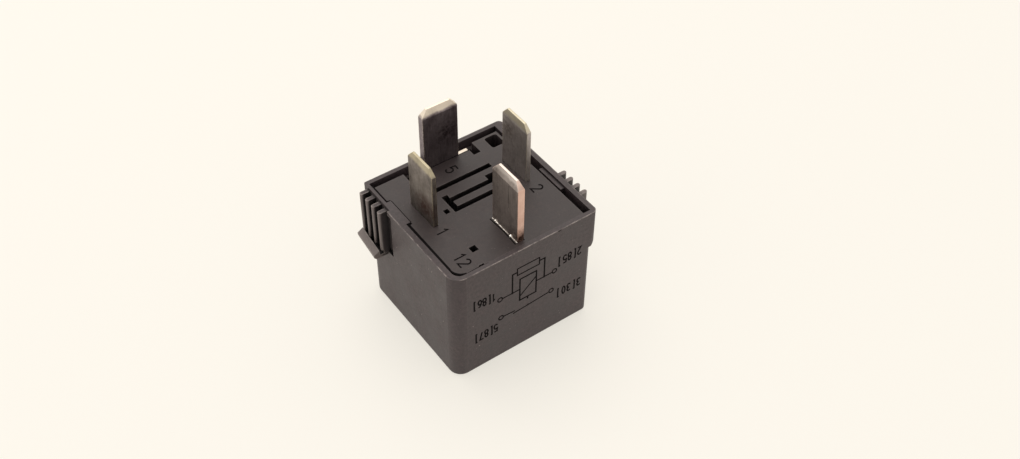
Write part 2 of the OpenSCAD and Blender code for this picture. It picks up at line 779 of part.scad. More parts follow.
module resistor() {
    color("#7fa0b0")
        translate([0, resistor_y, resistor_z])
            rotate([0, 90, 0])
                rotate_extrude()
                    polygon([[0, -resistor_l / 2], [resistor_r * 0.6, -resistor_l / 2],
                             [resistor_r, -resistor_l / 2 + 0.5], [resistor_r, -resistor_l / 2 + 1.4],
                             [resistor_r * 0.86, -resistor_l / 2 + 1.9],
                             [resistor_r * 0.86, resistor_l / 2 - 1.9],
                             [resistor_r, resistor_l / 2 - 1.4], [resistor_r, resistor_l / 2 - 0.5],
                             [resistor_r * 0.6, resistor_l / 2], [0, resistor_l / 2]]);
}

// Resistor lead, bent round to the tail of a coil terminal
module resistor_lead(side) {
    end_y = coil_blade_y + tail_w / 2;
    color("#c9c7bf")
        mirror([side > 0 ? 0 : 1, 0, 0]) {
            translate([resistor_l / 2, resistor_y, resistor_z])
                rotate([0, 90, 0])
                    cylinder(h = coil_blade_x - resistor_l / 2, r = resistor_lead_r);
            translate([coil_blade_x, resistor_y, resistor_z])
                sphere(resistor_lead_r);
            translate([coil_blade_x, resistor_y, resistor_z])
                rotate([90, 0, 0])
                    cylinder(h = resistor_y - end_y, r = resistor_lead_r);
        }
}

module resistor_lead_1() {
    resistor_lead(-1);
}

module resistor_lead_2() {
    resistor_lead(1);
}

// ---------- springs, armature and rivets ----------

// Part of the contact spring that is clamped between the yoke and terminal 3
module hinge_spring() {
    color("#c9935a")
        difference() {
            block([-spring_w / 2, foot_back, hinge_spring_z], [spring_w / 2, leg_front, base_z - 1.8]);
            yoke_rivet_holes(foot_back - 1, leg_front + 1);
        }
}

// Rivet that holds the foot of terminal 3 and the spring against the yoke
module yoke_rivet(x) {
    color("#a8a59c")
        translate([x, 0, base_z - 5.2])
            rotate([90, 0, 0]) {
                translate([0, 0, -leg_back])
                    cylinder(h = leg_back - load3_front, r = rivet_r);
                translate([0, 0, -load3_front])
                    cylinder(h = rivet_head_h, r1 = rivet_head_r, r2 = rivet_head_r * 0.7);
                translate([0, 0, -leg_back - 0.25])
                    cylinder(h = 0.25, r1 = rivet_r, r2 = rivet_r + 0.3);
            }
}

module yoke_rivet_left() {
    yoke_rivet(-rivet_span / 2);
}

module yoke_rivet_right() {
    yoke_rivet(rivet_span / 2);
}

// Place of the rivets that hold the spring to the armature
rivet_y = (leg_back + axis_y - pole_r) / 2;

module armature_rivet_holes(z0, z1) {
    for (x = [-rivet_span / 2, rivet_span / 2])
        translate([x, rivet_y, z0])
            cylinder(h = z1 - z0, r = rivet_r + 0.02);
}

module armature() {
    nose = axis_y + pole_r + 0.9;
    heel = hinge_y + 0.02;
    color("#a5a39c")
        opened()
            difference() {
                union() {
                    linear_extrude_at(armature_z, armature_t)
                        polygon([[-armature_w / 2, heel + bend_r], [armature_w / 2, heel + bend_r],
                                 [armature_w / 2, axis_y + 1.5], [armature_w / 2 - 2.2, nose],
                                 [-armature_w / 2 + 2.2, nose], [-armature_w / 2, axis_y + 1.5]]);
                    // heel, round where the spring bends round it
                    block([-armature_w / 2, heel, armature_z + bend_r],
                          [armature_w / 2, heel + bend_r + eps, armature_top]);
                    translate([-armature_w / 2, heel + bend_r, armature_z + bend_r])
                        rotate([0, 90, 0])
                            cylinder(h = armature_w, r = bend_r);
                }
                armature_rivet_holes(armature_z - 1, armature_top + 1);
            }
}

module linear_extrude_at(z, h) {
    translate([0, 0, z])
        linear_extrude(h)
            children();
}

// Moving part of the spring: bend round the hinge, flat under the armature, contact tongue
module contact_spring() {
    flat_y = hinge_y + bend_r;
    centre_z = spring_z + spring_t + bend_r;
    tip_w = 2 * contact_r + 0.8;
    color("#c9935a")
        opened()
            difference() {
                union() {
                    linear_extrude_at(spring_z, spring_t)
                        union() {
                            polygon([[-spring_w / 2, flat_y], [spring_w / 2, flat_y],
                                     [spring_w / 2, axis_y + 2.6], [tip_w / 2, contact_y - 3.2],
                                     [tip_w / 2, contact_y], [-tip_w / 2, contact_y],
                                     [-tip_w / 2, contact_y - 3.2], [-spring_w / 2, axis_y + 2.6]]);
                            translate([0, contact_y])
                                circle(tip_w / 2);
                        }
                    // quarter bend
                    intersection() {
                        translate([-spring_w / 2, flat_y, centre_z])
                            rotate([0, 90, 0])
                                difference() {
                                    cylinder(h = spring_w, r = bend_r + spring_t);
                                    translate([0, 0, -1])
                                        cylinder(h = spring_w + 2, r = bend_r);
                                }
                        block([-spring_w, hinge_y - spring_t - 1, spring_z - 1],
                              [spring_w, flat_y + eps, centre_z]);
                    }
                    // short upright end that meets the clamped part
                    block([-spring_w / 2, hinge_y - spring_t, centre_z - eps],
                          [spring_w / 2, hinge_y, pole_z - 0.02]);
                }
                armature_rivet_holes(spring_z - 1, spring_z + 2);
                translate([0, contact_y, spring_z - 1])
                    cylinder(h = 3, r = shank_r + 0.02);
            }
}

// Rivet that holds the spring under the armature
module armature_rivet(x) {
    color("#a8a59c")
        opened()
            translate([x, rivet_y, 0]) {
                translate([0, 0, spring_z])
                    cylinder(h = armature_top - spring_z, r = rivet_r);
                translate([0, 0, spring_z - rivet_head_h])
                    cylinder(h = rivet_head_h, r1 = rivet_head_r * 0.7, r2 = rivet_head_r);
            }
}

module armature_rivet_left() {
    armature_rivet(-rivet_span / 2);
}

module armature_rivet_right() {
    armature_rivet(rivet_span / 2);
}

module moving_contact() {
    color("#d9d6cc")
        opened()
            translate([0, contact_y, 0]) {
                translate([0, 0, spring_z + spring_t])
                    cylinder(h = contact_top - spring_z - spring_t, r = contact_r);
                translate([0, 0, spring_z - eps])
                    cylinder(h = spring_t + 2 * eps, r = shank_r);
                translate([0, 0, spring_z - tail_h])
                    cylinder(h = tail_h, r = shank_r + 0.35);
            }
}

cover();
base_plate();
terminal_1();
terminal_2();
terminal_3();
terminal_5();
yoke();
core();
bobbin();
coil_winding();
coil_lead_1();
coil_lead_2();
resistor();
resistor_lead_1();
resistor_lead_2();
hinge_spring();
yoke_rivet_left();
yoke_rivet_right();
fixed_contact();
rest_stop();
armature();
contact_spring();
armature_rivet_left();
armature_rivet_right();
moving_contact();
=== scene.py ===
import math
import random

import bmesh
import bpy
from mathutils import Matrix, Vector


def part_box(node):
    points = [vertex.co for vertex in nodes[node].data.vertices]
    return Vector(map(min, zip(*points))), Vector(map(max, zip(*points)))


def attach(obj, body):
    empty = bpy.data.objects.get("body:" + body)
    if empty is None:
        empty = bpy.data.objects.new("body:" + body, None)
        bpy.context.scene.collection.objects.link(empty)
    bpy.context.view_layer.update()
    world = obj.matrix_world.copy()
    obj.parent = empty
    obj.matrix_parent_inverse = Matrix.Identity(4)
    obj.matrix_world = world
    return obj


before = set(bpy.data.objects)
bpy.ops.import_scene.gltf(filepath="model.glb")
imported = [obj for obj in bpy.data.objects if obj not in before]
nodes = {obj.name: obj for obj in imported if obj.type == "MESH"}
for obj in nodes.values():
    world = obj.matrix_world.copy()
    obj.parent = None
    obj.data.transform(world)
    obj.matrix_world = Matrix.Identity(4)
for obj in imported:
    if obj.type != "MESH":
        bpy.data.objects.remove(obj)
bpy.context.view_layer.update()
MM = 0.001


# ---------------------------------------------------------------- small tools

def linear(code):
    """An sRGB hex colour as linear red, green, blue and alpha."""
    parts = [int(code[i:i + 2], 16) / 255 for i in (1, 3, 5)]
    return [p / 12.92 if p <= 0.04045 else ((p + 0.055) / 1.055) ** 2.4
            for p in parts] + [1.0]


def per_metre(size_mm):
    """How many times a pattern of this size repeats in a metre."""
    return 1000 / size_mm


def add_node(tree, kind, settings=(), links=()):
    """Adds a node with its settings and its incoming links."""
    node = tree.nodes.new(kind)
    for key, value in dict(settings).items():
        if isinstance(key, str) and hasattr(node, key):
            setattr(node, key, value)
        else:
            node.inputs[key].default_value = value
    for key, source in dict(links).items():
        tree.links.new(source, node.inputs[key])
    return node


def new_material(name):
    """An empty node material, its tree, its shader and its object coordinates."""
    made = bpy.data.materials.new(name)
    made.use_nodes = True
    tree = made.node_tree
    tree.nodes.clear()
    out = add_node(tree, "ShaderNodeOutputMaterial")
    shader = add_node(tree, "ShaderNodeBsdfPrincipled")
    tree.links.new(shader.outputs["BSDF"], out.inputs["Surface"])
    place = add_node(tree, "ShaderNodeTexCoord").outputs["Object"]
    return made, tree, shader, place


def grain(tree, place, size_mm, detail=3.0, rough=0.55, stretch=(1, 1, 1), seed=0.0):
    """A cloudy pattern from 0 to 1 whose grains have this real size; stretch draws them
    out along x, y and z, and seed moves the pattern."""
    moved = add_node(tree, "ShaderNodeMapping",
                     {"Location": (seed, seed * 0.7, seed * 1.3),
                      "Scale": tuple(1 / s for s in stretch)},
                     {"Vector": place}).outputs["Vector"]
    return add_node(tree, "ShaderNodeTexNoise",
                    {"Scale": per_metre(size_mm), "Detail": detail, "Roughness": rough},
                    {"Vector": moved}).outputs["Fac"]


def layered(tree, colour, layers):
    """Lays colours over each other. Each layer gives the pattern that it follows, where on
    that pattern it begins, where it is full, how strong it is then, and its colour."""
    for pattern, begins, full, strength, over in layers:
        share = add_node(tree, "ShaderNodeMapRange",
                         {"From Min": begins, "From Max": full, "To Max": strength},
                         {"Value": pattern}).outputs["Result"]
        mix = add_node(tree, "ShaderNodeMix", {"data_type": "RGBA"}, {0: share})
        for socket, tone in ((6, colour), (7, over)):
            if isinstance(tone, str):
                mix.inputs[socket].default_value = linear(tone)
            else:
                tree.links.new(tone, mix.inputs[socket])
        colour = mix.outputs[2]
    return colour


def sharp_edges(tree, radius_mm):
    """Near 1 along outer edges and corners, and 0 on flat faces."""
    soft = add_node(tree, "ShaderNodeBevel", {"samples": 6, "Radius": radius_mm * MM})
    flat = add_node(tree, "ShaderNodeNewGeometry").outputs["Normal"]
    same = add_node(tree, "ShaderNodeVectorMath", {"operation": "DOT_PRODUCT"},
                    {0: soft.outputs["Normal"], 1: flat}).outputs["Value"]
    return add_node(tree, "ShaderNodeMapRange", {"From Min": 0.995, "From Max": 0.86},
                    {"Value": same}).outputs["Result"]


def hollow_shade_mask(tree, reach_mm):
    """Near 1 in gaps, slots and inner corners, and 0 on open faces: the mask for painted
    shade.
    """
    open_sky = add_node(tree, "ShaderNodeAmbientOcclusion",
                        {"samples": 8, "only_local": True,
                         "Distance": reach_mm * MM}).outputs["AO"]
    return add_node(tree, "ShaderNodeMapRange", {"From Min": 0.86, "From Max": 0.36},
                    {"Value": open_sky}).outputs["Result"]


def near_spot(tree, place, spot_mm, reach_mm):
    """1 at a spot of the object, falling to 0 at this distance from it."""
    far = add_node(tree, "ShaderNodeVectorMath",
                   {"operation": "DISTANCE", 1: tuple(v * MM for v in spot_mm)}, {0: place})
    return add_node(tree, "ShaderNodeMapRange",
                    {"From Min": 0.2 * reach_mm * MM, "From Max": reach_mm * MM,
                     "To Min": 1.0, "To Max": 0.0},
                    {"Value": far.outputs["Value"]}).outputs["Result"]


def distance_out(tree, place, axis):
    """How far a point lies from the middle along one axis."""
    along = add_node(tree, "ShaderNodeSeparateXYZ", links={0: place}).outputs[axis]
    return add_node(tree, "ShaderNodeMath", {"operation": "ABSOLUTE"}, {0: along}).outputs[0]


def outer_side(tree, place, half_x_mm, half_y_mm):
    """1 on and near the outer side faces, and 0 further in."""
    out = [add_node(tree, "ShaderNodeMapRange",
                    {"From Min": (half - 0.3) * MM, "From Max": (half - 0.12) * MM},
                    {"Value": distance_out(tree, place, axis)}).outputs["Result"]
           for axis, half in (("X", half_x_mm), ("Y", half_y_mm))]
    return add_node(tree, "ShaderNodeMath", {"operation": "MAXIMUM"},
                    {0: out[0], 1: out[1]}).outputs[0]


# ------------------------------------------------------------------ materials

NYLON_IOR = 1.5
# The cover's outer faces, as half widths in x and y, and where its ribs' tips begin and
# end in x, all in mm.
COVER_OUTER_MM = (12.7, 12.65)
RIB_TIPS_MM = (13.4, 14.0)
# A darker nylon tone for the mottle, and the near black that is painted into hollows as shade.
NYLON_SHADE, NYLON_PAINTED_SHADE = "#2E2728", "#0D0A0B"


def moulded_nylon(name, body, dust, worn, grain_mm, rough, rubbed, shade_reach_mm, outer_mm=None):
    """Black glass-filled nylon from a spark-eroded mould: a satin, finely grained skin,
    greyer where dust and handling have settled, and paler along its rubbed edges. Painted
    shade makes it near black in its gaps, slots and inner corners; on the cover, the rib
    tips are paler, partly from wear and partly as a painted highlight."""
    made, tree, shader, place = new_material(name)
    clouds = grain(tree, place, 4.0, 5.0, 0.6)
    flow = grain(tree, place, 1.6, 3.0, stretch=(1, 1, 3))
    mottle = grain(tree, place, 0.55, 3.0, 0.7, seed=0.77)
    specks = grain(tree, place, 0.35, 2.0, seed=0.31)
    patches = add_node(tree, "ShaderNodeMapRange",
                       {"From Min": 0.42, "From Max": 0.6, "To Min": 0.12, "To Max": rubbed},
                       {"Value": grain(tree, place, 1.2, 4.0)}).outputs["Result"]
    rub = add_node(tree, "ShaderNodeMath", {"operation": "MULTIPLY"},
                   {0: sharp_edges(tree, 0.3), 1: patches}).outputs[0]
    layers = [(clouds, 0.3, 0.7, 1, dust), (flow, 0.5, 0.7, 0.4, dust),
              (mottle, 0.35, 0.7, 0.75, NYLON_SHADE), (specks, 0.72, 0.8, 0.6, worn)]
    if outer_mm:
        rub = add_node(tree, "ShaderNodeMath", {"operation": "MULTIPLY"},
                       {0: rub, 1: outer_side(tree, place, *outer_mm)}).outputs[0]
        # The rib tips turn paler: partly wear, and partly a painted highlight on the rib edges
        # that face the light.
        tips_begin, tips_end = (x * MM for x in RIB_TIPS_MM)
        layers.append((distance_out(tree, place, "X"), tips_begin, tips_end, 0.4, worn))
    # Painted shade comes last: near black in gaps, slots and inner corners.
    layers += [(rub, 0, 1, 1, worn), (hollow_shade_mask(tree, shade_reach_mm), 0, 1, 1, NYLON_PAINTED_SHADE)]
    tree.links.new(layered(tree, body, layers), shader.inputs["Base Color"])
    gloss = add_node(tree, "ShaderNodeMapRange",
                     {"From Min": 0.3, "From Max": 0.7, "To Min": rough - 0.06,
                      "To Max": rough + 0.08}, {"Value": clouds})
    tree.links.new(gloss.outputs["Result"], shader.inputs["Roughness"])
    shader.inputs["IOR"].default_value = NYLON_IOR
    skin = add_node(tree, "ShaderNodeBump", {"Strength": 1.0, "Distance": 0.02 * MM},
                    {"Height": grain(tree, place, grain_mm, 2.0)})
    tree.links.new(skin.outputs["Normal"], shader.inputs["Normal"])
    return made


def plated_blade(name, plate, dark, bare, rubbed, glint, seed, blade, stain,
                 front_edge=0.0, tip_depth=1.05):
    """Stamped brass or copper under matt tin: a dull grey face drawn in fine upright
    lines, with dark fretting stains and one larger stain, bright where a socket has
    rubbed its tip, and the bare metal at its sheared edges. Faces that look up get the
    rubbed colour as a painted highlight, and the glint colour is a painted highlight on
    the cleanest patches and along the drawn lines."""
    made, tree, shader, place = new_material(name)
    stains = grain(tree, place, 2.2, 5.0, 0.65, stretch=(1, 1, 1.8), seed=seed)
    fine = grain(tree, place, 0.5, 3.0, seed=seed + 0.2)
    lines = grain(tree, place, 0.12, 2.0, stretch=(1, 1, 30), seed=seed + 0.4)

    # The stained tin's tones, from the dark stains up to the glint, which is a painted
    # highlight on the cleanest patches.
    face = add_node(tree, "ShaderNodeValToRGB", links={"Fac": stains})
    stops = ((0.3, dark), (0.62, plate), (0.8, glint))
    face.color_ramp.elements.new(0.5)
    for element, (position, code) in zip(face.color_ramp.elements, stops):
        element.position = position
        element.color = linear(code)

    # A socket rubs the tip down to an uneven line.
    height = add_node(tree, "ShaderNodeSeparateXYZ", links={0: place}).outputs["Z"]
    wavy = add_node(tree, "ShaderNodeMath", {"operation": "MULTIPLY_ADD", 1: 0.6 * MM},
                    {0: grain(tree, place, 1.0, 3.0, seed=seed), 2: height}).outputs[0]
    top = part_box(blade)[1].z + 0.3 * MM
    above = add_node(tree, "ShaderNodeMapRange",
                     {"From Min": top - (tip_depth + 0.2) * MM,
                      "From Max": top - (tip_depth - 0.2) * MM}, {"Value": wavy})
    uneven = add_node(tree, "ShaderNodeMapRange",
                      {"From Min": 0.2, "From Max": 0.5, "To Min": 0.55}, {"Value": stains})
    tip = add_node(tree, "ShaderNodeMath", {"operation": "MULTIPLY"},
                   {0: above.outputs["Result"], 1: uneven.outputs["Result"]}).outputs[0]

    normal = add_node(tree, "ShaderNodeTexCoord").outputs["Normal"]
    facing = add_node(tree, "ShaderNodeSeparateXYZ", links={0: normal}).outputs
    spot, reach, stain_tone = stain
    broken = add_node(tree, "ShaderNodeMapRange", {"From Min": 0.25, "From Max": 0.6},
                      {"Value": fine})
    spread = add_node(tree, "ShaderNodeMath", {"operation": "MULTIPLY"},
                      {0: near_spot(tree, place, spot, reach),
                       1: broken.outputs["Result"]}).outputs[0]
    # Over the tin: dark grain, the drawn lines in the glint colour as a painted highlight, the
    # rubbed tip, and a painted highlight in the rubbed colour on faces that look up.
    colour = layered(tree, face.outputs["Color"], [
        (fine, 0.5, 0.75, 0.45, dark), (lines, 0.5, 0.8, 0.35, glint),
        (tip, 0, 1, 1, rubbed), (facing["Z"], 0.6, 0.95, 0.8, rubbed),
        (facing["Y"], -0.5, -0.9, front_edge, bare),
        (sharp_edges(tree, 0.22), 0.1, 0.8, 0.9, bare), (spread, 0, 1, 1, stain_tone)])
    tree.links.new(colour, shader.inputs["Base Color"])
    gloss = add_node(tree, "ShaderNodeMapRange",
                     {"From Min": 0.3, "From Max": 0.75, "To Min": 0.52, "To Max": 0.36},
                     {"Value": stains})
    tree.links.new(gloss.outputs["Result"], shader.inputs["Roughness"])
    shader.inputs["Metallic"].default_value = 1.0
    drawn = add_node(tree, "ShaderNodeBump", {"Strength": 0.6, "Distance": 0.004 * MM},
                     {"Height": lines})
    tree.links.new(drawn.outputs["Normal"], shader.inputs["Normal"])
    return made


def drawn_metal(name, light, dark, rough, grain_mm=0.3, stretch=(1, 1, 1)):
    """A plain metal part, with a cloudy tone and a little grain from rolling or plating."""
    made, tree, shader, place = new_material(name)
    clouds = grain(tree, place, 2.5, 4.0, stretch=stretch)
    tree.links.new(layered(tree, dark, [(clouds, 0.35, 0.7, 1, light)]),
                   shader.inputs["Base Color"])
    gloss = add_node(tree, "ShaderNodeMapRange",
                     {"From Min": 0.3, "From Max": 0.7, "To Min": rough + 0.08,
                      "To Max": rough - 0.05}, {"Value": clouds})
    tree.links.new(gloss.outputs["Result"], shader.inputs["Roughness"])
    shader.inputs["Metallic"].default_value = 1.0
    skin = add_node(tree, "ShaderNodeBump", {"Strength": 1.0, "Distance": 0.004 * MM},
                    {"Height": grain(tree, place, grain_mm, 2.0, stretch=stretch)})
    tree.links.new(skin.outputs["Normal"], shader.inputs["Normal"])
    return made


# A band wave repeats every 0.314 m divided by its scale. Real turns are about 0.1 mm
# apart; they are drawn at 0.3 mm, so that they show.
WAVE_REPEAT_MM, TURN_MM = 314, 0.3


def enamelled_wire(name, lacquer, dark):
    """Copper winding wire under a clear brown-red lacquer, in close turns: the eye sees
    fine bands round the coil."""
    made, tree, shader, place = new_material(name)
    tone = grain(tree, place, 1.5, 3.0, stretch=(3, 3, 1))
    tree.links.new(layered(tree, dark, [(tone, 0.35, 0.7, 1, lacquer)]),
                   shader.inputs["Base Color"])
    shader.inputs["Metallic"].default_value = 1.0
    shader.inputs["Roughness"].default_value = 0.32
    turns = add_node(tree, "ShaderNodeTexWave",
                     {"wave_type": "BANDS", "bands_direction": "Z",
                      "Scale": WAVE_REPEAT_MM / TURN_MM}, {"Vector": place}).outputs["Fac"]
    ridges = add_node(tree, "ShaderNodeBump", {"Strength": 1.0, "Distance": 0.05 * MM},
                      {"Height": turns})
    tree.links.new(ridges.outputs["Normal"], shader.inputs["Normal"])
    shader.inputs["Coat Weight"].default_value = 0.6
    shader.inputs["Coat Roughness"].default_value = 0.12
    return made


def flat_polymer(name, body, shade, rough, grain_mm=0.4, sheen=0.5):
    """A plain moulded or fired piece: one colour, slightly clouded, with a fine skin."""
    made, tree, shader, place = new_material(name)
    clouds = grain(tree, place, 3.0, 3.0)
    tree.links.new(layered(tree, shade, [(clouds, 0.35, 0.7, 1, body)]),
                   shader.inputs["Base Color"])
    gloss = add_node(tree, "ShaderNodeMapRange",
                     {"From Min": 0.3, "From Max": 0.7, "To Min": rough,
                      "To Max": rough + 0.1}, {"Value": clouds})
    tree.links.new(gloss.outputs["Result"], shader.inputs["Roughness"])
    shader.inputs["IOR"].default_value = NYLON_IOR
    shader.inputs["Specular IOR Level"].default_value = sheen
    skin = add_node(tree, "ShaderNodeBump", {"Strength": 1.0, "Distance": 0.006 * MM},
                    {"Height": grain(tree, place, grain_mm, 2.0)})
    tree.links.new(skin.outputs["Normal"], shader.inputs["Normal"])
    return made


# The cover is handled, so it is greyer and more rubbed than the base down in its rim.
COVER_NYLON = moulded_nylon("cover_glass_filled_nylon_moulded",
                            "#392F31", "#4B3F40", "#A0958F", 0.22, 0.5, 0.95, 3.6,
                            COVER_OUTER_MM)
BASE_NYLON = moulded_nylon("base_glass_filled_nylon_moulded",
                           "#2D2424", "#3F3534", "#857A78", 0.25, 0.52, 0.3, 2.2)
# The tin's tone differs from blade to blade: partly its own stains, and partly painted light
# and shade that evens out how bright each blade looks, so blade 1 is painted darker and
# blade 2 paler. Blade 3 is worn through to pink metal along its front edge.
LEFT_BLADE_TIN = plated_blade("blade_1_brass_tin_plated", "#958C85", "#564E4A", "#BFB295",
                              "#B0A68F", "#B9B2AA", 0.13, "terminal_1",
                              ((-8.85, 0.6, 24.2), 3.2, "#5B413B"))
RIGHT_BLADE_TIN = plated_blade("blade_2_brass_tin_plated", "#D0C8C4", "#948B88", "#D9CFB8",
                               "#C8BFAA", "#E3DCD8", 0.31, "terminal_2",
                               ((8.05, 3.5, 29.5), 2.6, "#8A7F7B"))
BACK_BLADE_TIN = plated_blade("blade_5_brass_tin_plated", "#8D8286", "#564B4F", "#EFE2D4",
                              "#EBDFD0", "#B5ABAB", 0.74, "terminal_5",
                              ((1.5, 9.7, 27.5), 3.5, "#4A3F42"))
FRONT_BLADE_TIN = plated_blade("blade_3_copper_tin_plated", "#C2B7B1", "#7F7470", "#E9BCA8",
                               "#DDD3CD", "#E3DAD4", 0.57, "terminal_3",
                               ((0, -11.3, 22.0), 3.0, "#54382F"), 0.62, 0.65)
# Nylon rubbed to a greyer, slightly rougher skin.
SCUFFED_NYLON = flat_polymer("cover_nylon_scuffed", "#8F8682", "#7A716E", 0.6, 0.2)
# Tin pushed up in crumbs: bright, because it is fresh and bare.
SCRAPED_TIN = drawn_metal("blade_3_scraped_up_tin", "#F4F0EA", "#C9C3BD", 0.28)
# Magnet iron and steel under thin zinc: a cool, dull grey.
SOFT_IRON = drawn_metal("soft_iron_zinc_plated", "#A9A8A4", "#7F7E7B", 0.38)
RIVET_STEEL = drawn_metal("rivet_steel_headed", "#A6A4A0", "#74726F", 0.34)
# Rolled bronze strip: warm brown, with its grain along the strip.
SPRING_BRONZE = drawn_metal("spring_bronze_rolled", "#B98C5A", "#96703F", 0.3,
                            stretch=(1, 6, 1))
# Pressed contact silver, a pale matt grey, and drawn wire under tin, a little brighter.
SILVER_TIN_OXIDE = drawn_metal("contact_silver_tin_oxide", "#C9C5BE", "#8D8982", 0.4)
LEAD_WIRE = drawn_metal("lead_wire_tinned_drawn", "#B9B6B1", "#8B8884", 0.3)
# Lacquered copper: glossy brown-red bands.
WINDING = enamelled_wire("winding_wire_enamelled", "#A9573A", "#6E2F20")
# Sand-coloured moulded polyester, and the dipped skin of a ceramic resistor: both plain.
BOBBIN_RESIN = flat_polymer("bobbin_polyester_moulded", "#B9A98D", "#A3927A", 0.5)
RESISTOR_ENAMEL = flat_polymer("resistor_ceramic_dipped", "#B7A27E", "#A08B68", 0.45)
# Two near blacks and a roughness for what is dead matt, and the little sheen it has, so
# that it stays darker than the nylon round it.
MATT_BLACK, MATT_SHEEN = ("#0B0909", "#0F0C0C", 0.9), 0.1
# Pad-print ink, a thin dead matt film.
PAD_INK = flat_polymer("pad_print_ink_black", *MATT_BLACK, sheen=MATT_SHEEN)
# The base's own raised numbers, drawn near black: painted shade for the shadows round the
# moulded relief.
NUMBERS_PAINTED_SHADE = flat_polymer("base_raised_numbers_painted_shade", *MATT_BLACK, sheen=MATT_SHEEN)
# Painted shadow: a matt, near-black film laid in the moulded gaps, where shade falls.
GAP_PAINTED_SHADOW = flat_polymer("painted_shadow_in_moulded_gaps", *MATT_BLACK, sheen=MATT_SHEEN)
# A small break in the cover's nylon, whose dark inside is painted shade: a near-black film on
# the face.
NICK_PAINTED_SHADE = flat_polymer("cover_nick_painted_shade", *MATT_BLACK, sheen=MATT_SHEEN)
# A fine scratch in the tin, drawn as a near-black line.
SCRATCH_DARK_LINE = flat_polymer("dark_line_in_tin_scratch", *MATT_BLACK, sheen=MATT_SHEEN)

FINISHES = {
    "cover": COVER_NYLON, "base_plate": BASE_NYLON,
    "terminal_1": LEFT_BLADE_TIN, "terminal_2": RIGHT_BLADE_TIN,
    "terminal_5": BACK_BLADE_TIN, "terminal_3": FRONT_BLADE_TIN,
    "yoke": SOFT_IRON, "core": SOFT_IRON, "armature": SOFT_IRON, "rest_stop": SOFT_IRON,
    "bobbin": BOBBIN_RESIN, "coil_winding": WINDING,
    "coil_lead_1": WINDING, "coil_lead_2": WINDING,
    "resistor": RESISTOR_ENAMEL, "resistor_lead_1": LEAD_WIRE, "resistor_lead_2": LEAD_WIRE,
    "hinge_spring": SPRING_BRONZE, "contact_spring": SPRING_BRONZE,
    "yoke_rivet_left": RIVET_STEEL, "yoke_rivet_right": RIVET_STEEL,
    "armature_rivet_left": RIVET_STEEL, "armature_rivet_right": RIVET_STEEL,
    "fixed_contact": SILVER_TIN_OXIDE, "moving_contact": SILVER_TIN_OXIDE,
}

# How far each solid's sharp edges are broken, in mm: moulding radii, shear edges.
EDGE_BREAKS = {"cover": 0.06, "base_plate": 0.03, "terminal_1": 0.07, "terminal_2": 0.07,
               "terminal_3": 0.07, "terminal_5": 0.07, "yoke": 0.12, "armature": 0.1,
               "bobbin": 0.1, "rest_stop": 0.06, "hinge_spring": 0.04,
               "contact_spring": 0.04, "core": 0.08}


def dress_solids():
    """Gives every solid its finish, and breaks the edges that a real part has broken."""
    for name, solid in nodes.items():
        solid.data.materials.clear()
        solid.data.materials.append(FINISHES[name])
        if name in EDGE_BREAKS:
            weld = solid.modifiers.new("weld", "WELD")
            weld.merge_threshold = 0.001 * MM
            bevel = solid.modifiers.new("edge_break", "BEVEL")
            bevel.width = EDGE_BREAKS[name] * MM
            bevel.segments = 2
            bevel.limit_method = "ANGLE"
            bevel.angle_limit = math.radians(40)
            bevel.harden_normals = False


# -------------------------------------------------------------- stroked marks

def arc(cx, cy, rx, ry, start, end, count=14):
    """Points along an ellipse, angles in degrees."""
    return [(cx + rx * math.cos(math.radians(start + (end - start) * i / count)),
             cy + ry * math.sin(math.radians(start + (end - start) * i / count)))
            for i in range(count + 1)]


# Plain drafting numerals: each glyph's strokes in a box 1 wide and 1.9 high.
NUMERALS = {
    "0": [arc(0.5, 0.95, 0.46, 0.95, 90, 450)],
    "1": [[(0.2, 1.45), (0.6, 1.9), (0.6, 0)]],
    "2": [arc(0.5, 1.4, 0.46, 0.5, 165, -25) + [(0.04, 0), (1, 0)]],
    "3": [arc(0.45, 1.43, 0.45, 0.47, 150, -90) + arc(0.45, 0.48, 0.5, 0.48, 90, -150)],
    "5": [[(0.92, 1.9), (0.12, 1.9), (0.06, 1.05)] + arc(0.48, 0.6, 0.5, 0.6, 130, -150)],
    "6": [[(0.85, 1.78), (0.45, 1.6), (0.12, 1.1)] + arc(0.5, 0.56, 0.46, 0.56, 165, -190)],
    "7": [[(0, 1.9), (1, 1.9), (0.4, 0)]],
    "8": [arc(0.5, 1.43, 0.4, 0.47, 90, 450), arc(0.5, 0.48, 0.47, 0.48, 90, 450)],
    "[": [[(0.6, 2.1), (0.25, 2.1), (0.25, -0.2), (0.6, -0.2)]],
    "]": [[(0.4, 2.1), (0.75, 2.1), (0.75, -0.2), (0.4, -0.2)]],
}


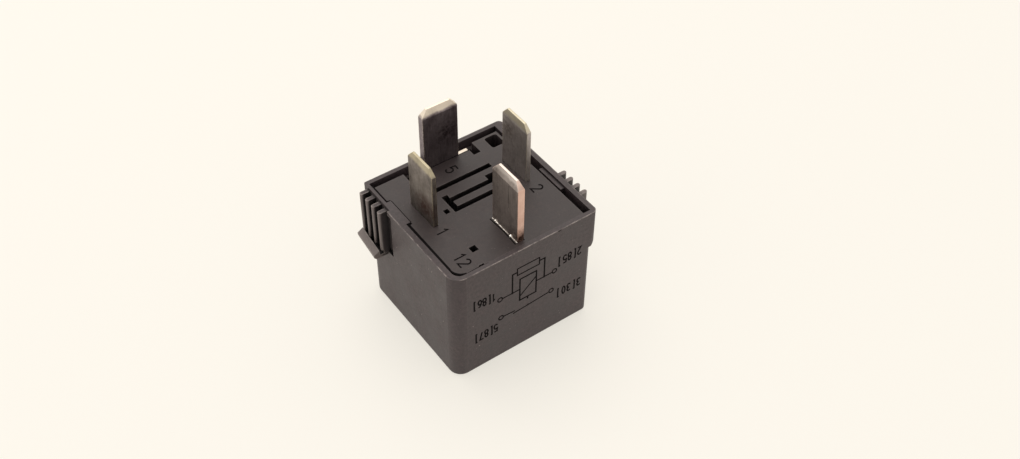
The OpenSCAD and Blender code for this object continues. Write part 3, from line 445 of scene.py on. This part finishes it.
class StrokeSheet:
    """Gathers strokes as closed raised ribbons on one plane, then makes one mesh."""

    def __init__(self, origin, across, up, out):
        self.origin, self.across, self.up, self.out = origin, across, up, out
        self.bm = bmesh.new()

    def spot(self, point, lift):
        place = self.origin + self.across * point[0] + self.up * point[1] + self.out * lift
        return self.bm.verts.new(place * MM)

    def stroke(self, path, width, height, sink=0.05):
        """One ribbon along the path, mitred, with blunt ends; a closed path joins up."""
        points = [Vector(p) for p in path]
        closed = (points[0] - points[-1]).length < 1e-6
        if closed:
            points = points[:-1]
        rows = []
        count = len(points)
        for i, here in enumerate(points):
            before = points[i - 1] if closed or i else None
            after = points[(i + 1) % count] if closed or i < count - 1 else None
            into = (here - before).normalized() if before is not None else None
            away = (after - here).normalized() if after is not None else None
            into, away = into or away, away or into
            side = Vector((-(into + away).y, (into + away).x))
            side = side.normalized() if side.length > 1e-6 else Vector((-into.y, into.x))
            reach = width / 2 / max(0.5, side.dot(Vector((-into.y, into.x))))
            reach_left, reach_right = here + side * reach, here - side * reach
            rows.append([self.spot(reach_left, -sink), self.spot(reach_left, height),
                         self.spot(reach_right, height), self.spot(reach_right, -sink)])
        spans = count if closed else count - 1
        for i in range(spans):
            one, two = rows[i], rows[(i + 1) % count]
            for j in range(4):
                k = (j + 1) % 4
                self.bm.faces.new((one[j], one[k], two[k], two[j]))
        if not closed:
            self.bm.faces.new(rows[0][::-1])
            self.bm.faces.new(rows[-1])

    def dot(self, centre, radius, height):
        """A filled round spot."""
        rim = arc(centre[0], centre[1], radius, radius, 0, 360 - 360 / 16, 15)
        low = [self.spot(p, -0.05) for p in rim]
        high = [self.spot(p, height) for p in rim]
        self.bm.faces.new(high)
        self.bm.faces.new(low[::-1])
        for i in range(16):
            j = (i + 1) % 16
            self.bm.faces.new((low[i], low[j], high[j], high[i]))

    def words(self, text, first, step, size, width, height, turn=0.0):
        """Numerals whose centres start at first and go on by step; turn is in degrees, and
        size holds the width of a sign and its height over 1.9."""
        for i, sign in enumerate(text):
            centre = Vector(first) + Vector(step) * i
            for path in NUMERALS[sign]:
                placed = []
                for x, y in path:
                    p = Vector(((x - 0.5) * size[0], (y - 0.95) * size[1]))
                    p.rotate(Matrix.Rotation(math.radians(turn), 2))
                    placed.append(centre + p)
                self.stroke(placed, width, height)

    def piece(self, name, material, body):
        bmesh.ops.recalc_face_normals(self.bm, faces=self.bm.faces)
        mesh = bpy.data.meshes.new(name)
        self.bm.to_mesh(mesh)
        self.bm.free()
        made = bpy.data.objects.new(name, mesh)
        bpy.context.scene.collection.objects.link(made)
        mesh.materials.append(material)
        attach(made, body)
        return made


# A blade's width and half a load blade's thickness, in mm.
BLADE_WIDTH = 6.3
LOAD_BLADE_HALF = 0.6
# How far print and grime stand proud, how far a scuff, nick or scratch does, and how deep
# scuffs and the nick are rooted in their face, in mm.
PROUD, FILM, FILM_ROOT = 0.02, 0.006, 0.02

# Each label with the places of its first and its last sign.
LABELS = (("2[85]", (10.13, 14.98), (6.42, 14.82)), ("3[30]", (10.38, 7.7), (6.47, 7.65)),
          ("1[86]", (-5.9, 14.66), (-9.24, 14.86)), ("5[87]", (-5.53, 7.35), (-9.01, 7.29)))


def front_wiring_print():
    """The wiring plan printed on the cover's long face: coil, resistor and contact, with
    plain terminal numbers that read with the blades pointing down."""
    long_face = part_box("cover")[0].y / MM
    sheet = StrokeSheet(Vector((0, long_face, 0)), Vector((1, 0, 0)), Vector((0, 0, 1)),
                        Vector((0, -1, 0)))
    thin, thick = 0.2, 0.25
    sheet.stroke([(-1.1, 15.6), (1.95, 15.6), (1.95, 10.85), (-1.1, 10.85), (-1.1, 15.6)],
                 thick, PROUD)
    sheet.stroke([(-1.05, 11.8), (1.9, 14.4)], thin, PROUD)
    sheet.stroke([(0.4, 10.85), (0.4, 10.3)], thick, PROUD)
    sheet.stroke([(-1.62, 18.2), (2.45, 18.2), (2.45, 16.75), (-1.62, 16.75), (-1.62, 18.2)],
                 thin, PROUD)
    sheet.stroke([(-1.62, 17.45), (-2.5, 17.45), (-2.5, 13.4)], thick, PROUD)
    sheet.stroke([(2.45, 17.5), (3.45, 17.5), (3.45, 13.35)], thick, PROUD)
    sheet.stroke([(-4.35, 13.35), (-1.1, 13.35)], thin, PROUD)
    sheet.stroke([(1.95, 13.3), (4.95, 13.3)], thin, PROUD)
    sheet.dot((-2.5, 13.38), 0.22, PROUD + 0.005)
    sheet.dot((3.45, 13.32), 0.2, PROUD + 0.005)
    sheet.stroke(arc(-4.75, 13.35, 0.42, 0.42, 0, 360), thin, PROUD)
    sheet.stroke(arc(5.4, 13.35, 0.42, 0.42, 180, 540), thin, PROUD)
    sheet.stroke(arc(-4.55, 9.1, 0.42, 0.42, 0, 360), thin, PROUD)
    sheet.stroke([(-4.13, 9.12), (-1.95, 9.0)], thin, PROUD)
    sheet.stroke([(-2.3, 8.55), (4.4, 9.05)], thin, PROUD)
    sheet.dot((0.52, 8.8), 0.18, PROUD + 0.005)
    sheet.stroke(arc(4.95, 9.15, 0.42, 0.42, 180, 540), thin, PROUD)
    for text, first, last in LABELS:
        step = ((last[0] - first[0]) / 4, (last[1] - first[1]) / 4)
        sheet.words(text, first, step, (0.62, 0.84), 0.25, PROUD, 180)
    return sheet.piece("front_wiring_print", PAD_INK, "housing")


def base_numbers():
    """The terminal numbers and a plain cavity number, raised on the base plate and drawn near
    black as painted shade.
    """
    base_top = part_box("base_plate")[1].z / MM
    sheet = StrokeSheet(Vector((0, 0, base_top)), Vector((1, 0, 0)), Vector((0, 1, 0)),
                        Vector((0, 0, 1)))
    for text, spot in (("1", (-8.3, -2.9)), ("2", (8.7, -3.5)), ("5", (0.3, 7.5)),
                       ("12", (-9.1, -8.6))):
        sheet.words(text, spot, (0, -1.4), (1.0, 1.0), 0.22, 0.03, -90)
    return sheet.piece("base_numbers", NUMBERS_PAINTED_SHADE, "housing")


def painted_gap_shadow():
    """Painted shadow: near-black strips laid in the gap between the base and the rim at the
    left and round the front left corner, and in the gaps at the feet of blades 3 and 5, where
    shade falls."""
    low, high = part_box("base_plate")
    sheet = StrokeSheet(Vector((0, 0, high.z / MM)), Vector((1, 0, 0)), Vector((0, 1, 0)),
                        Vector((0, 0, 1)))
    left, front = low.x / MM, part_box("cover")[0].y / MM
    edge = left - 0.06
    sheet.stroke([(edge, 11.3), (edge, 7.15), (edge + 0.66, 7.02)], 0.32, PROUD)
    sheet.stroke([(edge + 0.66, 6.95), (edge + 0.66, 1.4)], 0.24, PROUD)
    sheet.stroke([(edge + 0.66, 1.3), (edge + 0.1, 1.1), (edge + 0.04, -9.9)], 0.44, PROUD)
    sheet.stroke(arc(edge + 1.99, -9.9, 1.95, 1.95, 180, 262), 0.3, PROUD)
    sheet.stroke([(-9.9, front + 0.83), (-7.8, front + 0.88)], 0.13, PROUD)
    back_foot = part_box("terminal_5")[1].y / MM - 2 * LOAD_BLADE_HALF - 0.04
    sheet.stroke([(-5.3, back_foot), (5.3, back_foot)], 0.14, PROUD)
    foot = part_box("terminal_3")[0].y / MM
    sheet.stroke([(-0.98, foot - 0.1), (-0.86, foot + 3), (-1.0, foot + BLADE_WIDTH + 0.1)],
                 0.16, PROUD)
    sheet.stroke([(0.66, foot - 0.1), (0.66, foot + BLADE_WIDTH)], 0.1, PROUD)
    return sheet.piece("rim_gap_painted_shadow", GAP_PAINTED_SHADOW, "housing")


def handling_marks():
    """A few pale scuffs on the left face, and one nick in the long face's top edge drawn as a
    near-black film of painted shade.
    """
    cover_low, cover_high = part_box("cover")
    # Below the catch, the left face is the cover's outermost place in x.
    wall = round(min(v.co.x for v in nodes["cover"].data.vertices
                     if v.co.z < 5 * MM) / MM, 3)
    rng = random.Random(5)
    left = StrokeSheet(Vector((wall, 0, 0)), Vector((0, 1, 0)), Vector((0, 0, 1)),
                       Vector((-1, 0, 0)))
    for i in range(14):
        y, z = rng.uniform(-9.8, 4.0), rng.uniform(2, 20.8)
        size = rng.uniform(0.04, 0.1)
        if i % 4 == 0:
            left.stroke([(y, z), (y + 0.25, z - 0.35), (y + 0.3, z - 0.6)],
                        0.05, FILM, FILM_ROOT)
        else:
            left.dot((y, z), size, FILM)
    left.piece("left_face_scuffs", SCUFFED_NYLON, "housing")
    long_face = StrokeSheet(Vector((0, cover_low.y / MM, 0)), Vector((1, 0, 0)),
                            Vector((0, 0, 1)), Vector((0, -1, 0)))
    rim = cover_high.z / MM
    # The nick, as a near-black film of painted shade; the edge itself is not cut.
    long_face.stroke([(5.8, rim - 0.12), (6.0, rim - 0.2), (6.35, rim - 0.13)],
                     0.16, FILM, FILM_ROOT)
    long_face.piece("long_face_nick", NICK_PAINTED_SHADE, "housing")


def scraped_tin():
    """Tin that the base scraped up along the foot of blade 3 as the blade was pressed in,
    and one fine upright scratch on the same face."""
    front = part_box("terminal_3")[0].y
    back = front + BLADE_WIDTH * MM
    floor_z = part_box("base_plate")[1].z
    root = floor_z - 0.05 * MM
    face = -LOAD_BLADE_HALF * MM
    rng = random.Random(11)
    bm = bmesh.new()
    rows = []
    steps = 34
    for i in range(steps + 1):
        share = i / steps
        lump = max(math.exp(-((share - lump_at) / 0.05) ** 2) for lump_at in (0.26, 0.87))
        rise = (0.08 + 0.06 * rng.random() + 0.3 * lump) * MM
        reach = (0.08 + 0.08 * rng.random() + 0.24 * lump) * MM
        y = front + (back - front) * share
        rows.append([bm.verts.new(v) for v in
                     ((face + 0.03 * MM, y, root), (face + 0.03 * MM, y, floor_z + rise),
                      (face - reach * 0.7, y, floor_z + rise * 0.8),
                      (face - reach, y, root))])
    for one, two in zip(rows, rows[1:]):
        for j in range(4):
            k = (j + 1) % 4
            bm.faces.new((one[j], one[k], two[k], two[j]))
    bm.faces.new(rows[0][::-1])
    bm.faces.new(rows[-1])
    bmesh.ops.recalc_face_normals(bm, faces=bm.faces)
    mesh = bpy.data.meshes.new("blade_3_scraped_tin")
    bm.to_mesh(mesh)
    bm.free()
    mesh.materials.append(SCRAPED_TIN)
    made = bpy.data.objects.new("blade_3_scraped_tin", mesh)
    bpy.context.scene.collection.objects.link(made)
    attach(made, "housing")

    sheet = StrokeSheet(Vector((face / MM, 0, 0)), Vector((0, 1, 0)), Vector((0, 0, 1)),
                        Vector((-1, 0, 0)))
    sheet.stroke([(-8.9, 31.6), (-8.85, 29.5), (-8.9, 27.2)], 0.07, FILM)
    sheet.piece("blade_3_scratch", SCRATCH_DARK_LINE, "housing")


# ------------------------------------------------------------------ the stage

# The floor's half width in metres, and how much of its plain tone shows as written; the
# rest is lit by the lamps and keeps the part's shadow.
FLOOR_HALF, FLOOR_PLAIN = 1.5, 0.6
# How strongly the room lights the part, and how bright it shows behind it; 1 is white.
ROOM_LIGHT, ROOM_SEEN = 0.75, 1.0


def backdrop_rays(tree):
    """One for each ray that sees the backdrop itself, also by way of metal or glass."""
    rays = add_node(tree, "ShaderNodeLightPath").outputs
    direct = add_node(tree, "ShaderNodeMath", {"operation": "MAXIMUM"},
                      {0: rays["Is Camera Ray"], 1: rays["Is Transmission Ray"]}).outputs[0]
    return add_node(tree, "ShaderNodeMath", {"operation": "MAXIMUM"},
                    {0: direct, 1: rays["Is Glossy Ray"]}).outputs[0]


def stage():
    """A plain pale floor under soft, even light."""
    # Painted board, matt and almost without sheen.
    made, tree, shader, place = new_material("floor_painted_board")
    shader.inputs["Base Color"].default_value = linear("#F7F2E8")
    shader.inputs["Roughness"].default_value = 0.85
    shader.inputs["Specular IOR Level"].default_value = 0.1
    glow = add_node(tree, "ShaderNodeEmission", {"Color": linear("#FFFBF1"), "Strength": 1.0})
    share = add_node(tree, "ShaderNodeMath", {"operation": "MULTIPLY", 1: FLOOR_PLAIN},
                     {0: backdrop_rays(tree)})
    pale = add_node(tree, "ShaderNodeMixShader",
                    links={0: share.outputs[0], 1: shader.outputs[0], 2: glow.outputs[0]})
    surface = next(n for n in tree.nodes if n.type == "OUTPUT_MATERIAL").inputs["Surface"]
    tree.links.new(pale.outputs[0], surface)
    mesh = bpy.data.meshes.new("floor")
    corners = ((-1, -1), (1, -1), (1, 1), (-1, 1))
    mesh.from_pydata([(x * FLOOR_HALF, y * FLOOR_HALF, 0) for x, y in corners],
                     [], [(0, 1, 2, 3)])
    floor = bpy.data.objects.new("floor", mesh)
    mesh.materials.append(made)
    bpy.context.scene.collection.objects.link(floor)

    world = bpy.data.worlds.new("soft_room")
    bpy.context.scene.world = world
    world.use_nodes = True
    tree = world.node_tree
    tree.nodes.clear()
    out = add_node(tree, "ShaderNodeOutputWorld")
    lit = add_node(tree, "ShaderNodeBackground",
                   {"Color": linear("#FFFCFA"), "Strength": ROOM_LIGHT})
    seen = add_node(tree, "ShaderNodeBackground",
                    {"Color": linear("#FBF7EE"), "Strength": ROOM_SEEN})
    both = add_node(tree, "ShaderNodeMixShader", links={0: backdrop_rays(tree),
                                                        1: lit.outputs[0], 2: seen.outputs[0]})
    tree.links.new(both.outputs[0], out.inputs["Surface"])

    def soft_box(name, place, aim, size, power, code):
        lamp = bpy.data.lights.new(name, "AREA")
        lamp.shape = "SQUARE"
        lamp.size = size
        lamp.energy = power
        lamp.color = linear(code)[:3]
        holder = bpy.data.objects.new(name, lamp)
        holder.location = place
        holder.rotation_mode = "QUATERNION"
        holder.rotation_quaternion = (Vector(aim) - Vector(place)).to_track_quat("-Z", "Y")
        bpy.context.scene.collection.objects.link(holder)

    soft_box("overhead", (0.05, 0.25, 0.6), (0, 0, 0), 0.6, 1.7, "#FFFBF6")
    soft_box("left_window", (-0.6, 0.1, 0.25), (0, 0, 0.01), 0.5, 0.3, "#FFFFFF")


# The camera's turn, rise and roll in degrees, and its place and focal length in mm.
CAMERA_TURN, CAMERA_RISE, CAMERA_ROLL = -36.254, 45.769, 0.754
CAMERA_PLACE = Vector((-74.775, -110.452, 151.940))
CAMERA_LENS = 43.347


def camera():
    """A camera above the corner between the cover's long face and its left side."""
    turn, rise, roll = (math.radians(a) for a in (CAMERA_TURN, CAMERA_RISE, CAMERA_ROLL))
    back = Vector((math.sin(turn) * math.cos(rise), -math.cos(turn) * math.cos(rise),
                   math.sin(rise)))
    right = Vector((math.cos(turn), math.sin(turn), 0))
    up = back.cross(right)
    rolled_right = right * math.cos(roll) + up * math.sin(roll)
    rolled_up = up * math.cos(roll) - right * math.sin(roll)
    lens = bpy.data.cameras.new("camera")
    lens.lens = CAMERA_LENS
    lens.sensor_width = 36
    lens.clip_start, lens.clip_end = 0.005, 20
    holder = bpy.data.objects.new("camera", lens)
    axes = Matrix((rolled_right, rolled_up, back)).transposed().to_4x4()
    axes.translation = CAMERA_PLACE * MM
    holder.matrix_world = axes
    bpy.context.scene.collection.objects.link(holder)
    bpy.context.scene.camera = holder


# ------------------------------------------------------------------- assembly

random.seed(7)
bpy.context.scene.view_settings.view_transform = "Standard"
dress_solids()
front_wiring_print()
base_numbers()
painted_gap_shadow()
handling_marks()
scraped_tin()
stage()
camera()
